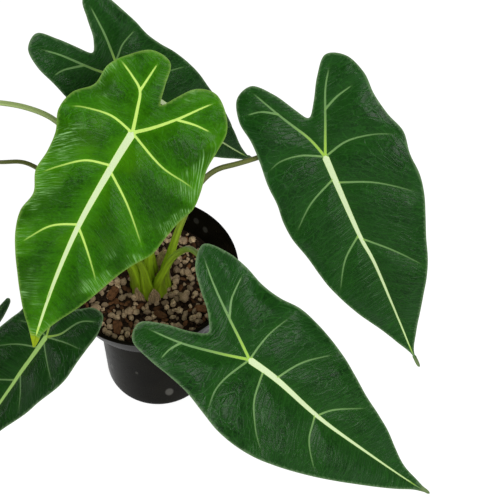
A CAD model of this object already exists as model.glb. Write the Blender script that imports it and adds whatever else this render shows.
"""Potted alocasia: the finished look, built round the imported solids.

Metres, +Z up. Every piece is made in place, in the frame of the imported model.
"""
import math
import random
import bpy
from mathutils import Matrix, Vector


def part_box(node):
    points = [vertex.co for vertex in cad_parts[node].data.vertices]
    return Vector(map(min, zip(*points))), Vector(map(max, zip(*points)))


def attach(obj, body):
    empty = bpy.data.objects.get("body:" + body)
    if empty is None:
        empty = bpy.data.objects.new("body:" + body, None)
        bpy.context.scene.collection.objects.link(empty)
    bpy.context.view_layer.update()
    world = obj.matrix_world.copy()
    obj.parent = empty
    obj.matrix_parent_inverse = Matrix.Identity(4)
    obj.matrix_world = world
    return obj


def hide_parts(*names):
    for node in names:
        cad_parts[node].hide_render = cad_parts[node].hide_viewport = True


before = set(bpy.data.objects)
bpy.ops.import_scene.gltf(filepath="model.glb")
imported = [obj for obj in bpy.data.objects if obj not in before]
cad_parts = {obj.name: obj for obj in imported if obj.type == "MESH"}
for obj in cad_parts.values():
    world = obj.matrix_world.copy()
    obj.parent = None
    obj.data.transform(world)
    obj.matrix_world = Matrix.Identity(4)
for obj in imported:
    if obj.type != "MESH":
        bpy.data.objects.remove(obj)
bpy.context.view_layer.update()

from types import SimpleNamespace

import bmesh
import bpy
import numpy as np
from bpy.props import FloatProperty, FloatVectorProperty, IntProperty
from mathutils import Matrix, Vector, noise
from mathutils.geometry import delaunay_2d_cdt
from mathutils.kdtree import KDTree

bl_info = {
    "name": "Potted alocasia",
    "version": (1, 0, 0),
    "blender": (4, 5, 0),
    "location": "View3D > Sidebar > Alocasia",
    "description": "Builds leaves, stalks, pot and potting mix round the packed solids",
    "category": "Object",
}

POT_LOW, POT_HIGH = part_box("nursery_pot")
MIX_LOW, MIX_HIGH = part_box("potting_mix")
LEAVES = ("front", "rear", "right", "low_right", "low_left", "high_left", "mid_left", "side_left")


def named(start):
    """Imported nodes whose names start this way, in order."""
    return [name for name in sorted(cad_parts) if name.startswith(start)]


STONES, CHIPS, SHEATHS = named("pumice_"), named("bark_"), named("sheath_")

# How a blade is dished, as shares of its length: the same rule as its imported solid.
DROOP = 0.08
BACK_DROOP = 0.20
FOLD = 0.20
ARCH = 0.40
FOLD_SOFTNESS = 0.02

# Relief and markings of a blade, in metres.
PUFF_REACH = 0.0065           # from a vein's edge to where the blade has risen
PUFF_END = 0.010              # from the margin to where the blade may rise fully
FURROW_DEPTH = 0.0006         # groove along a vein
FURROW_REACH = 0.0013
RIPPLE_REACH = 0.013          # how far the waves of the margin run inwards
UNEVENNESS = 0.00035
THIN_REACH = 0.0035           # from the margin to where the blade has its full thickness
VEIN_FADE = 0.00035           # over which a vein's edge blends into the blade
VEIN_END = 0.0004             # width of a vein where it ends
PANEL_REACH = 0.0085          # from a vein's edge to the deepest green
EDGE_REACH = 0.009            # how far the sheen of the margin runs inwards
RIM_WIDTH = 0.0007            # pale line along the margin
POINT_GAP = 0.00022           # least distance between surface points along the veins

# Shares: of a vein's half width, and of a blade's thickness, length and colour.
VEIN_CROWN = 0.25             # rise of a vein over the blade
KEEL_DEPTH = 1.35             # vein under the blade
KEEL_WIDTH = 1.25
EDGE_THICKNESS = 0.45         # at the blade's margin
FORK_SHARE = 0.7              # width and strength of a rib that branches off another
TAIL_START = 0.935            # where the drawn-out tip begins
OLD_LEAVES = {"low_left": 0.68, "side_left": 0.6, "mid_left": 0.85}   # shade of the oldest blades

NOTCH_PASSES = 14             # smoothing that rounds the notch between the lobes
NOTCH_POINTS = 7              # points of the outline on each side of the notch that it moves

STALK_REACH = 0.017           # the feet of the stalks stand within this radius
STALK_GROOVES = 11
STALK_PASSES = 12             # smoothing of a stalk's line
STALK_DRAW = 0.0006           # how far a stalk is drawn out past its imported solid, to its blade
KNEE_REACH = 0.006            # a stalk thickens a little just under its blade
KNEE = 0.12                   # by this share of its radius
SCALE_THICKNESS = 0.00045     # papery scales

INNER_BEND = 0.003            # how softly the pot's wall bends: inside, all round the shoulder
COLLAR_BEND = 0.0025          # outside, at the collar's foot
BODY_BEND = 0.005             # outside, under the shoulder
SURFACE_EDGE = 0.004          # the bumps of the mix fade out over this width at the pot's wall
HEAP = 0.0015                 # rise of the mix round the stalks
GRAIN_EDGE = 0.0012           # gap between the grains and the edge of the mix
FOOT_CLEAR = 0.0048           # radius round a stalk's foot that grains keep out of
STONE_CLEAR = 0.62            # share of a stone's or chip's half diagonal that they keep out of
GRAIN_CLOSENESS = 0.66        # least distance of two grains, as a share of their added half lengths
GRAIN_SINK = 0.28             # how deep a grain sinks in, as a share of its half length

# Veins as (along, out) points, in shares of the blade's length from the stalk joint. The midrib
# comes first, then the ribs of the basal lobes with their forks, then the side veins.
EVEN_RIBS = (((0.0, 0.0), (-0.14, 0.05), (-0.24, 0.11), (-0.33, 0.17)),
             ((-0.14, 0.05), (-0.17, 0.13), (-0.17, 0.21)))
EVEN_SIDES = (((0.0, 0.0), (-0.03, 0.10), (0.00, 0.20), (0.04, 0.24)),
              ((0.12, 0.0), (0.17, 0.11), (0.26, 0.20)),
              ((0.34, 0.0), (0.42, 0.09), (0.52, 0.16)),
              ((0.56, 0.0), (0.63, 0.06), (0.72, 0.10)))


def both_sides(veins):
    """The same veins on the right and, mirrored, on the left."""
    return veins + tuple(tuple((along, -out) for along, out in vein) for vein in veins)


EVEN_VEINS = dict(midrib=((0.0, 0.0), (0.5, 0.0), (1.0, 0.0)),
                  ribs=both_sides(EVEN_RIBS), sides=both_sides(EVEN_SIDES))
VEINS = {
    "front": dict(
        midrib=((0.0, 0.0), (0.17, 0.02), (0.42, 0.04), (0.68, 0.035), (0.94, 0.01), (1.0, 0.0)),
        ribs=(((0.0, 0.0), (-0.09, 0.02), (-0.16, 0.04), (-0.20, 0.09), (-0.24, 0.16)),
              ((-0.16, 0.04), (-0.22, 0.03), (-0.28, 0.02)),
              ((0.0, 0.0), (-0.05, -0.06), (-0.12, -0.13), (-0.20, -0.20), (-0.24, -0.24)),
              ((-0.12, -0.13), (-0.13, -0.20), (-0.13, -0.27))),
        sides=(((0.0, 0.0), (-0.03, 0.10), (-0.02, 0.20), (0.0, 0.26)),
               ((0.0, 0.0), (0.07, -0.15), (0.09, -0.26), (0.10, -0.31)),
               ((0.15, 0.02), (0.17, 0.12), (0.23, 0.20), (0.29, 0.26)),
               ((0.17, 0.02), (0.27, -0.10), (0.40, -0.22)),
               ((0.42, 0.04), (0.47, 0.14), (0.58, 0.22)),
               ((0.43, 0.04), (0.52, -0.04), (0.62, -0.12)))),
    "rear": dict(
        midrib=((0.0, 0.0), (0.4, 0.005), (0.76, 0.01), (1.0, 0.0)),
        ribs=(((0.0, 0.0), (-0.12, 0.04), (-0.31, 0.07), (-0.42, 0.10)),
              ((-0.20, 0.055), (-0.27, 0.12), (-0.30, 0.17)),
              ((0.0, 0.0), (-0.09, -0.05), (-0.20, -0.12), (-0.33, -0.19)),
              ((-0.07, -0.04), (-0.09, -0.12), (-0.08, -0.21))),
        sides=(((0.0, 0.0), (-0.03, 0.10), (0.00, 0.20)),
               ((0.08, 0.0), (0.20, -0.14), (0.27, -0.21)),
               ((0.16, 0.0), (0.22, 0.10), (0.31, 0.18)),
               ((0.34, 0.0), (0.45, -0.10), (0.53, -0.15)),
               ((0.38, 0.0), (0.46, 0.08), (0.55, 0.13)),
               ((0.58, 0.01), (0.66, -0.05), (0.73, -0.08)),
               ((0.60, 0.01), (0.68, 0.06), (0.75, 0.09)))),
    "right": dict(
        midrib=((0.0, 0.0), (0.34, 0.0), (0.50, -0.01), (0.88, 0.0), (1.0, 0.0)),
        ribs=(((0.0, 0.0), (-0.09, 0.03), (-0.22, 0.10), (-0.34, 0.16)),
              ((-0.22, 0.10), (-0.25, 0.15), (-0.26, 0.21)),
              ((0.0, 0.0), (-0.12, -0.05), (-0.24, -0.10), (-0.32, -0.15)),
              ((-0.17, -0.07), (-0.20, -0.13), (-0.22, -0.20))),
        sides=(((0.0, 0.0), (-0.03, -0.10), (-0.02, -0.20), (0.01, -0.28)),
               ((0.0, 0.0), (-0.04, 0.08), (-0.05, 0.16), (-0.03, 0.22)),
               ((0.11, 0.0), (0.16, -0.14), (0.25, -0.27)),
               ((0.09, 0.0), (0.15, 0.12), (0.24, 0.22)),
               ((0.34, 0.0), (0.42, 0.09), (0.54, 0.16)),
               ((0.36, 0.0), (0.45, -0.10), (0.55, -0.19)))),
    "low_right": dict(
        midrib=((0.0, 0.0), (0.14, 0.0), (0.36, 0.02), (0.57, 0.02), (0.87, 0.01), (1.0, 0.0)),
        ribs=(((0.0, 0.0), (-0.10, -0.05), (-0.18, -0.09), (-0.29, -0.15), (-0.38, -0.21)),
              ((-0.16, -0.08), (-0.20, -0.15), (-0.22, -0.24)),
              ((0.0, 0.0), (-0.12, 0.05), (-0.26, 0.10), (-0.40, 0.13)),
              ((-0.26, 0.10), (-0.28, 0.14), (-0.29, 0.19))),
        sides=(((0.0, 0.0), (0.0, -0.11), (0.03, -0.22)),
               ((0.0, 0.0), (-0.04, 0.10), (-0.05, 0.17), (-0.03, 0.25)),
               ((0.07, 0.0), (0.10, 0.11), (0.16, 0.19), (0.24, 0.26)),
               ((0.13, 0.0), (0.18, -0.11), (0.27, -0.21)),
               ((0.35, 0.02), (0.39, 0.12), (0.48, 0.20)),
               ((0.36, 0.02), (0.41, -0.04), (0.52, -0.12)))),
    "low_left": dict(
        midrib=((0.0, 0.0), (0.20, -0.01), (0.40, -0.02), (0.7, -0.01), (1.0, 0.0)),
        ribs=(((0.0, 0.0), (-0.06, -0.05), (-0.16, -0.09), (-0.22, -0.16)),
              ((0.0, 0.0), (-0.10, 0.05), (-0.18, 0.09), (-0.23, 0.13))),
        sides=(((0.0, 0.0), (-0.05, -0.10), (-0.08, -0.18)),
               ((0.02, 0.0), (0.06, -0.07), (0.11, -0.17)),
               ((0.0, 0.0), (0.0, 0.08), (0.04, 0.16)),
               ((0.06, 0.0), (0.12, 0.09), (0.20, 0.17)),
               ((0.20, -0.01), (0.25, -0.07), (0.32, -0.13)),
               ((0.24, -0.01), (0.30, 0.06), (0.40, 0.17)),
               ((0.42, -0.02), (0.49, -0.07), (0.56, -0.09)),
               ((0.44, -0.02), (0.52, 0.06), (0.60, 0.13)),
               ((0.66, -0.01), (0.72, 0.04), (0.78, 0.06)))),
}

# Tones of a blade between its veins, and how strongly each marking shows.
YOUNG = SimpleNamespace(
    light=(0.030, 0.165, 0.0006), rind=(0.070, 0.26, 0.001), streak=(0.26, 0.52, 0.18),
    glow=(0.085, 0.33, 0.001), rim=(0.20, 0.36, 0.06), point=(0.30, 0.42, 0.01),
    inner_streaks=0.0, edge_streaks=0.95, net=0.30, halo=0.40, cloud=0.55, depth=0.50, gloss=0.09)
GROWN = SimpleNamespace(
    light=(0.0125, 0.075, 0.0065), rind=(0.010, 0.062, 0.007), streak=(0.034, 0.10, 0.034),
    glow=(0.030, 0.11, 0.014), rim=(0.16, 0.27, 0.12), point=(0.15, 0.22, 0.085),
    inner_streaks=0.10, edge_streaks=0.45, net=0.50, halo=0.28, cloud=0.25, depth=0.12, gloss=0.14)

# Tones of the other finishes.
DUST = (0.055, 0.050, 0.038)
DRIED_WATER = (0.13, 0.125, 0.11)
SPLIT_BARK = (0.42, 0.25, 0.12)
PEAT_FIBRE = (0.20, 0.12, 0.065)
SCALE_STAIN = (0.22, 0.11, 0.045)
ROOT_SKIN = (0.20, 0.17, 0.06)

# Dried drops on the pot: degrees round it, height, radius and strength.
DRIED_DROPS = ((-76, 0.0244, 0.0034, 0.8), (-108, 0.052, 0.0016, 0.4), (48, 0.121, 0.0030, 0.35),
               (57, 0.124, 0.0026, 0.25), (66, 0.123, 0.0030, 0.2), (140, 0.060, 0.0025, 0.4),
               (215, 0.035, 0.0020, 0.5), (-20, 0.040, 0.0024, 0.4))
BODY_SHARE = 0.63             # the wall's radius at a drop, as a share of the rim's: outside
COLLAR_SHARE = 0.93           # and inside the collar
DROP_RUN = 0.6                # how far a drop outside has run: less is longer

# Loose grains: share of all, smallest and largest half length, and slot of the record.
GRAINS = {"pumice": (0.46, 0.0011, 0.0029, "pumice"), "bark": (0.30, 0.0012, 0.0034, "bark"),
          "peat": (0.24, 0.0008, 0.0019, "potting_mix")}
GRAIN_MOULDS = 7              # different shapes of each kind


# ---- sizes and colours a user may change --------------------------------------------------
LENGTH = dict(unit="LENGTH", precision=4)
COLOUR = dict(subtype="COLOR", size=3)


class PotSettings(bpy.types.PropertyGroup):
    wall: FloatProperty(name="Wall", description="Thickness of the pot's wall", default=0.0018,
                        **LENGTH)
    band: FloatProperty(name="Collar height", description="Height of the collar below the rim",
                        default=0.024, **LENGTH)
    band_taper: FloatProperty(name="Collar taper", description="How far the collar narrows",
                              default=0.008, **LENGTH)
    shoulder: FloatProperty(name="Shoulder width",
                            description="How far the shoulder under the collar draws in",
                            default=0.0155, **LENGTH)
    shoulder_drop: FloatProperty(name="Shoulder drop", description="Height of the shoulder",
                                 default=0.01, **LENGTH)
    base_radius: FloatProperty(name="Base radius", description="Radius above the base's rounding",
                               default=0.0425, **LENGTH)
    base_edge: FloatProperty(name="Base rounding", description="Radius between wall and base",
                             default=0.009, **LENGTH)
    lip: FloatProperty(name="Lip", description="Radius of the rolled lip", default=0.0013, **LENGTH)
    drain_ring: FloatProperty(name="Drain ring", description="Radius of the ring of drain holes",
                              default=0.021, **LENGTH)
    drain_radius: FloatProperty(name="Drain radius", description="Radius of each drain hole",
                                default=0.004, **LENGTH)
    drain_count: IntProperty(name="Drain holes", description="Number of drain holes", default=6)
    colour: FloatVectorProperty(name="Colour", description="Black plastic",
                                default=(0.0045, 0.004, 0.0022), **COLOUR)


class BladeSettings(bpy.types.PropertyGroup):
    spacing: FloatProperty(name="Mesh spacing", description="Distance between surface points",
                           default=0.0015, **LENGTH)
    thickness: FloatProperty(name="Thickness", description="Thickness of the blade between veins",
                             default=0.0006, **LENGTH)
    midrib: FloatProperty(name="Midrib width", description="Width of the midrib at the stalk",
                          default=0.004, **LENGTH)
    rib: FloatProperty(name="Lobe rib width", description="Width of a lobe rib at its root",
                       default=0.0015, **LENGTH)
    side: FloatProperty(name="Side vein width", description="Width of a side vein at its root",
                        default=0.001, **LENGTH)
    young_share: FloatProperty(name="Young veins",
                               description="How much wider the veins of the young blade are",
                               default=1.1, min=1.0, max=2.0)
    tail: FloatProperty(name="Tail", description="Half width of the drawn-out tip", default=0.0013,
                        **LENGTH)
    puff: FloatProperty(name="Puff", description="Rise of the blade between its veins",
                        default=0.0026, **LENGTH)
    ripple: FloatProperty(name="Ripple", description="Height of the waves along the margin",
                          default=0.0012, **LENGTH)
    bright: FloatVectorProperty(name="Young green", description="Colour of the newest blade",
                                default=(0.0085, 0.06, 0.0003), **COLOUR)
    dark: FloatVectorProperty(name="Dark green", description="Colour of the older blades",
                              default=(0.0038, 0.03, 0.0026), **COLOUR)
    vein: FloatVectorProperty(name="Vein", description="Colour of the midrib",
                              default=(0.68, 0.82, 0.48), **COLOUR)
    young_vein: FloatVectorProperty(name="Young side vein", description="Side veins, young blade",
                                    default=(0.56, 0.82, 0.16), **COLOUR)
    rib_vein: FloatVectorProperty(name="Lobe rib", description="Ribs and the midrib's edges",
                                  default=(0.36, 0.6, 0.07), **COLOUR)
    old_vein: FloatVectorProperty(name="Old midrib", description="Midrib of the oldest blades",
                                  default=(0.34, 0.56, 0.14), **COLOUR)
    side_vein: FloatVectorProperty(name="Side vein", description="Side veins, older blades",
                                   default=(0.16, 0.31, 0.1), **COLOUR)
    underside: FloatVectorProperty(name="Underside", description="Colour of the undersides",
                                   default=(0.11, 0.21, 0.065), **COLOUR)


class StalkSettings(bpy.types.PropertyGroup):
    sides: IntProperty(name="Sides", description="Points round a stalk", default=28)
    step: FloatProperty(name="Step", description="Distance between rings of a stalk",
                        default=0.0014, **LENGTH)
    foot: FloatProperty(name="Foot", description="Height of the widened foot of a stalk",
                        default=0.042, **LENGTH)
    swell: FloatProperty(name="Swell", description="Extra width of the foot, as a share",
                         default=0.55, min=0.0, max=1.0)
    bright: FloatVectorProperty(name="Fresh", description="Stalk of the newest leaf",
                                default=(0.18, 0.3, 0.025), **COLOUR)
    pale: FloatVectorProperty(name="Pale", description="Cream-green stalk",
                              default=(0.46, 0.6, 0.21), **COLOUR)
    olive: FloatVectorProperty(name="Olive", description="Olive-brown stalks",
                               default=(0.16, 0.185, 0.045), **COLOUR)
    deep: FloatVectorProperty(name="Deep green", description="Low stalks",
                              default=(0.03, 0.062, 0.01), **COLOUR)
    foot_colour: FloatVectorProperty(name="Foot colour", description="Yellow-green of the feet",
                                     default=(0.26, 0.41, 0.014), **COLOUR)


class MixSettings(bpy.types.PropertyGroup):
    relief: FloatProperty(name="Relief", description="Height of the bumps of the surface",
                          default=0.0016, **LENGTH)
    grains: IntProperty(name="Grains", description="Tries at placing a loose grain", default=5200)
    seed: IntProperty(name="Seed", description="Chooses one arrangement of the grains", default=7)
    soil: FloatVectorProperty(name="Soil", description="Dark peat", default=(0.03, 0.016, 0.008),
                              **COLOUR)
    pumice: FloatVectorProperty(name="Pumice", description="Pale grains",
                                default=(0.62, 0.44, 0.265), **COLOUR)
    bark: FloatVectorProperty(name="Bark", description="Bark chips", default=(0.16, 0.07, 0.027),
                              **COLOUR)
    sheath: FloatVectorProperty(name="Sheath", description="Dry papery scales",
                                default=(0.66, 0.48, 0.27), **COLOUR)


class StageSettings(bpy.types.PropertyGroup):
    camera: FloatVectorProperty(name="Camera", description="Place of the camera",
                                default=(0.073, -0.455, 0.782), size=3, subtype="TRANSLATION")
    elevation: FloatProperty(name="Elevation", description="How far the camera looks down",
                             default=math.radians(54), subtype="ANGLE")
    lens: FloatProperty(name="Lens", description="Focal length in millimetres", default=79.2)
    floor: FloatProperty(name="Floor", description="Width of the floor", default=6.0, unit="LENGTH")
    key: FloatProperty(name="Key light", description="Power of the main light", default=14.5)
    fill: FloatProperty(name="Fill light", description="Power of the side light", default=4.2)
    low: FloatProperty(name="Low light", description="Power of the low front light", default=0.9)
    sky: FloatProperty(name="Sky", description="Strength of the even light", default=0.4)
    gloss: FloatProperty(name="Sky gloss", description="Strength of the sky in reflections",
                         default=0.12)
    glow: FloatProperty(name="Floor glow", description="Light of the floor as seen", default=0.9)
    bounce: FloatProperty(name="Floor bounce", description="Light the floor gives the plant",
                          default=0.45)


SETTINGS = {"alocasia_pot": PotSettings, "alocasia_blade": BladeSettings,
            "alocasia_stalk": StalkSettings, "alocasia_mix": MixSettings,
            "alocasia_stage": StageSettings}


# ---- material helpers ---------------------------------------------------------------------
class Finish:
    """A node material in the making: each method adds a node and returns its output socket."""

    def __init__(self, name):
        self.material = bpy.data.materials.new(name)
        self.material.use_nodes = True
        self.tree = self.material.node_tree
        self.shader = self.tree.nodes["Principled BSDF"]
        self.place = self.add("ShaderNodeTexCoord").outputs["Object"]

    def add(self, kind, **settings):
        node = self.tree.nodes.new(kind)
        for key, value in settings.items():
            setattr(node, key, value)
        return node

    def feed(self, socket, value):
        if isinstance(value, bpy.types.NodeSocket):
            self.tree.links.new(value, socket)
        elif socket.type == "RGBA":
            socket.default_value = (*value, 1.0)[:4]
        else:
            socket.default_value = value

    def attribute(self, name):
        return self.add("ShaderNodeAttribute", attribute_name=name).outputs["Fac"]

    def stretch(self, scale, source=None):
        node = self.add("ShaderNodeMapping")
        self.feed(node.inputs["Vector"], source or self.place)
        node.inputs["Scale"].default_value = scale
        return node.outputs["Vector"]

    def combine(self, x, y):
        node = self.add("ShaderNodeCombineXYZ")
        self.feed(node.inputs["X"], x)
        self.feed(node.inputs["Y"], y)
        return node.outputs["Vector"]

    def noise(self, scale, detail=3.0, rough=0.55, source=None):
        node = self.add("ShaderNodeTexNoise")
        self.feed(node.inputs["Vector"], source or self.place)
        node.inputs["Scale"].default_value = scale
        node.inputs["Detail"].default_value = detail
        node.inputs["Roughness"].default_value = rough
        return node.outputs["Fac"]

    def cells(self, scale, feature="F1", source=None):
        node = self.add("ShaderNodeTexVoronoi", feature=feature)
        self.feed(node.inputs["Vector"], source or self.place)
        node.inputs["Scale"].default_value = scale
        return node.outputs["Distance"]

    def span(self, value, low, high, start=0.0, end=1.0):
        """Value from low to high, mapped smoothly onto start to end."""
        node = self.add("ShaderNodeMapRange", interpolation_type="SMOOTHSTEP")
        self.feed(node.inputs["Value"], value)
        for key, number in (("From Min", low), ("From Max", high), ("To Min", start),
                            ("To Max", end)):
            node.inputs[key].default_value = number
        return node.outputs["Result"]

    def mix(self, share, first, second):
        node = self.add("ShaderNodeMix", data_type="RGBA")
        self.feed(node.inputs[0], share)
        self.feed(node.inputs[6], first)
        self.feed(node.inputs[7], second)
        return node.outputs[2]

    def lay(self, base, value, low, high, colour, full=1.0):
        """Base, covered with another colour where value rises from low to high."""
        return self.mix(self.span(value, low, high, 0.0, full), base, colour)

    def math(self, operation, first, second=0.0):
        node = self.add("ShaderNodeMath", operation=operation)
        self.feed(node.inputs[0], first)
        self.feed(node.inputs[1], second)
        return node.outputs[0]

    def bump(self, height, depth, base=None):
        node = self.add("ShaderNodeBump")
        node.inputs["Distance"].default_value = depth
        self.feed(node.inputs["Height"], height)
        if base is not None:
            self.feed(node.inputs["Normal"], base)
        return node.outputs["Normal"]

    def finish(self, colour, roughness, normal=None, **constants):
        """Feeds the shader: constants are named after its sockets, with _ for a space."""
        self.feed(self.shader.inputs["Base Color"], colour)
        self.feed(self.shader.inputs["Roughness"], roughness)
        if normal is not None:
            self.feed(self.shader.inputs["Normal"], normal)
        for key, value in constants.items():
            self.feed(self.shader.inputs[key.replace("_", " ")], value)
        return self.material


def tint(colour, factor):
    """A colour made darker or lighter."""
    return tuple(min(1.0, channel * factor) for channel in colour)


def leaf_finish(name, tones, age, green, vein, rib_vein, side_vein, underside):
    """Blade: veins, pale borders, fine streaks between the veins and a satin top."""
    f = Finish(name)
    level, border, panel, margin, outer, tail, top = map(
        f.attribute, ("vein", "border", "panel", "margin", "outer", "tail", "top"))
    flow = f.combine(f.attribute("flow"), f.attribute("reach"))
    hairs = f.noise(1.0, 4.0, 0.62, f.stretch((230.0, 13.0, 1.0), flow))
    bands = f.noise(1.0, 2.0, 0.5, f.stretch((34.0, 4.0, 1.0), flow))
    patch = f.noise(22.0, 3.0, 0.6)
    blotch = f.noise(60.0, 4.0, 0.65)
    mottle = f.noise(620.0, 3.0, 0.7)
    cells = f.cells(900.0)
    net = f.cells(1.0, "DISTANCE_TO_EDGE", f.stretch((64.0, 20.0, 1.0), flow))
    light, rind, streak = tint(tones.light, age), tint(tones.rind, age), tint(tones.streak, age)
    # Green between the veins: mottled, banded and deepest in the middle of each panel.
    lamina = f.mix(f.span(blotch, 0.34, 0.68), tint(green, 0.70), tint(green, 1.25))
    lamina = f.lay(lamina, mottle, 0.38, 0.62, light, 0.62)
    lamina = f.lay(lamina, bands, 0.44, 0.66, light, 0.50)
    lamina = f.mix(f.span(panel, 0.0, 0.9, 0.34, 0.0), lamina, light)
    lamina = f.lay(lamina, patch, 0.46, 0.64, tint(rind, 0.9), tones.cloud)
    lamina = f.mix(f.math("MULTIPLY", outer, f.span(patch, 0.35, 0.60, 0.0, 0.9)), lamina, rind)
    lamina = f.mix(f.span(net, 0.0, 0.09, tones.net, 0.0), lamina, tint(light, 1.35))
    lamina = f.lay(lamina, panel, 0.45, 1.0, tint(green, 0.80), tones.depth)
    # Pale streaks, mostly in patches along the margin.
    edge_patch = f.math("MULTIPLY", f.span(outer, 0.06, 0.42), f.span(patch, 0.48, 0.55))
    where = f.math("MAXIMUM", f.math("MULTIPLY", edge_patch, tones.edge_streaks),
                   tones.inner_streaks)
    lamina = f.mix(f.math("MULTIPLY", f.span(hairs, 0.48, 0.68), where), lamina, streak)
    # Veins by their strength, then the margin's line and the drawn-out tip.
    lamina = f.mix(f.math("MULTIPLY", border, tones.halo), lamina, tones.glow)
    upper = f.lay(lamina, level, 0.0, 0.45, side_vein)
    upper = f.lay(upper, level, 0.48, 0.76, rib_vein)
    upper = f.lay(upper, level, 0.78, 0.97, vein)
    upper = f.mix(f.math("MULTIPLY", margin, 0.75), upper, tones.rim)
    upper = f.mix(tail, upper, tones.point)
    lower = f.lay(underside, blotch, 0.3, 0.75, tint(underside, 0.75))
    lower = f.lay(lower, hairs, 0.5, 0.75, tint(underside, 1.6), 0.4)
    lower = f.mix(f.math("MULTIPLY", level, 0.85), lower, tint(vein, 0.72))
    colour = f.mix(top, lower, upper)
    rough = f.span(blotch, 0.3, 0.75, 0.24, 0.38)
    rough = f.math("ADD", rough, f.math("MULTIPLY", level, 0.10))
    normal = f.bump(hairs, 0.00018)
    normal = f.bump(mottle, 0.00022, normal)
    calm = f.span(level, 0.0, 0.4, 1.0, 0.0)
    normal = f.bump(f.math("MULTIPLY", f.span(net, 0.0, 0.12), calm), 0.00016, normal)
    normal = f.bump(cells, 0.00005, normal)
    return f.finish(colour, rough, normal, Specular_IOR_Level=tones.gloss)


def stalk_finish(name, colour, foot):
    """Stalk: fine ribs and flecks along it, with a yellower foot."""
    f = Finish(name)
    rise = f.attribute("rise")
    skin = f.combine(f.attribute("turn"), f.attribute("length"))
    ribs = f.noise(1.0, 3.0, 0.5, f.stretch((9.0, 12.0, 1.0), skin))
    flecks = f.noise(1.0, 4.0, 0.65, f.stretch((14.0, 90.0, 1.0), skin))
    body = f.mix(f.span(ribs, 0.35, 0.68), tint(colour, 0.80), tint(colour, 1.20))
    body = f.lay(body, flecks, 0.58, 0.74, tint(colour, 0.50), 0.45)
    base = f.lay(foot, ribs, 0.35, 0.7, tint(foot, 1.7))
    base = f.lay(base, flecks, 0.50, 0.70, tint(foot, 0.45), 0.5)
    shade = f.lay(base, rise, 0.14, 0.50, body)
    normal = f.bump(ribs, 0.0004)
    return f.finish(shade, f.span(flecks, 0.3, 0.7, 0.30, 0.46), normal, Specular_IOR_Level=0.35)


def pot_finish(settings):
    """Black plastic with faint dust and a few dried drops."""
    f = Finish("nursery_pot")
    dust = f.noise(170.0, 4.0, 0.7)
    cloud = f.noise(26.0, 3.0, 0.6)
    scratch = f.noise(1.0, 3.0, 0.6, f.stretch((900.0, 900.0, 30.0)))
    colour = f.mix(f.span(cloud, 0.40, 0.75, 0.0, 0.7), settings.colour, tint(settings.colour, 2.6))
    colour = f.lay(colour, dust, 0.62, 0.82, DUST, 0.2)
    for turn, height, radius, strength in DRIED_DROPS:
        # A drop outside, under the collar, has run down a wall that stands further in.
        outside = height < POT_HIGH.z - settings.band
        around = POT_HIGH.x * (BODY_SHARE if outside else COLLAR_SHARE)
        run = DROP_RUN if outside else 1.0
        spot = f.add("ShaderNodeVectorMath", operation="DISTANCE")
        f.feed(spot.inputs[0], f.stretch((1.0, 1.0, run)))
        spot.inputs[1].default_value = (around * math.cos(math.radians(turn)),
                                        around * math.sin(math.radians(turn)), height * run)
        share = f.span(spot.outputs["Value"], radius * 0.75, radius * 1.2, strength, 0.0)
        colour = f.mix(share, colour, DRIED_WATER)
    rough = f.math("ADD", f.span(cloud, 0.3, 0.75, 0.20, 0.30), f.span(dust, 0.5, 0.8, 0.0, 0.2))
    normal = f.bump(scratch, 0.00005)
    normal = f.bump(cloud, 0.0002, normal)
    return f.finish(colour, rough, normal, Specular_IOR_Level=0.04)


def crumb_finish(name, colour, scale, contrast=0.5, rough=0.9):
    """Porous or crumbly matter whose pieces differ a little in shade."""
    f = Finish(name)
    shade = f.attribute("shade")
    pores = f.cells(scale)
    patch = f.noise(scale * 0.4, 4.0, 0.65)
    tone = f.mix(shade, tint(colour, 1.0 - contrast), tint(colour, 1.0 + contrast))
    tone = f.lay(tone, patch, 0.35, 0.7, tint(colour, 0.55))
    tone = f.mix(f.span(pores, 0.0, 0.35, 0.6, 0.0), tone, tint(colour, 0.22))
    normal = f.bump(patch, 0.0006)
    normal = f.bump(pores, 0.0004, normal)
    return f.finish(tone, rough, normal, Specular_IOR_Level=0.25)


def bark_finish(name, colour):
    """Bark in dark and light layers, split open here and there."""
    f = Finish(name)
    shade = f.attribute("shade")
    layer = f.noise(1.0, 4.0, 0.65, f.stretch((420.0, 420.0, 1500.0)))
    patch = f.noise(300.0, 3.0, 0.6)
    tone = f.mix(shade, tint(colour, 0.55), tint(colour, 1.5))
    tone = f.lay(tone, layer, 0.45, 0.62, tint(colour, 0.35), 0.7)
    tone = f.lay(tone, patch, 0.6, 0.75, SPLIT_BARK, 0.6)
    normal = f.bump(layer, 0.0006)
    return f.finish(tone, 0.85, normal, Specular_IOR_Level=0.25)


def soil_finish(colour):
    """Crumbly dark peat with paler fibres."""
    f = Finish("soil")
    crumbs = f.cells(520.0)
    fine = f.noise(1500.0, 4.0, 0.7)
    clump = f.noise(90.0, 4.0, 0.65)
    tone = f.mix(f.span(clump, 0.35, 0.7), tint(colour, 0.45), tint(colour, 1.7))
    tone = f.lay(tone, fine, 0.58, 0.74, PEAT_FIBRE, 0.6)
    normal = f.bump(crumbs, 0.0009)
    normal = f.bump(fine, 0.0004, normal)
    return f.finish(tone, 0.93, normal, Specular_IOR_Level=0.2)


def sheath_finish(colour):
    """Dry paper with upright fibres and brown stains."""
    f = Finish("papery_sheath")
    fibre = f.noise(1.0, 4.0, 0.6, f.stretch((1300.0, 1300.0, 70.0)))
    stain = f.noise(220.0, 3.0, 0.6)
    tone = f.mix(f.span(fibre, 0.36, 0.66), tint(colour, 0.55), tint(colour, 1.35))
    tone = f.lay(tone, stain, 0.54, 0.74, SCALE_STAIN, 0.6)
    return f.finish(tone, 0.68, f.bump(fibre, 0.0005), Specular_IOR_Level=0.3)


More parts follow.
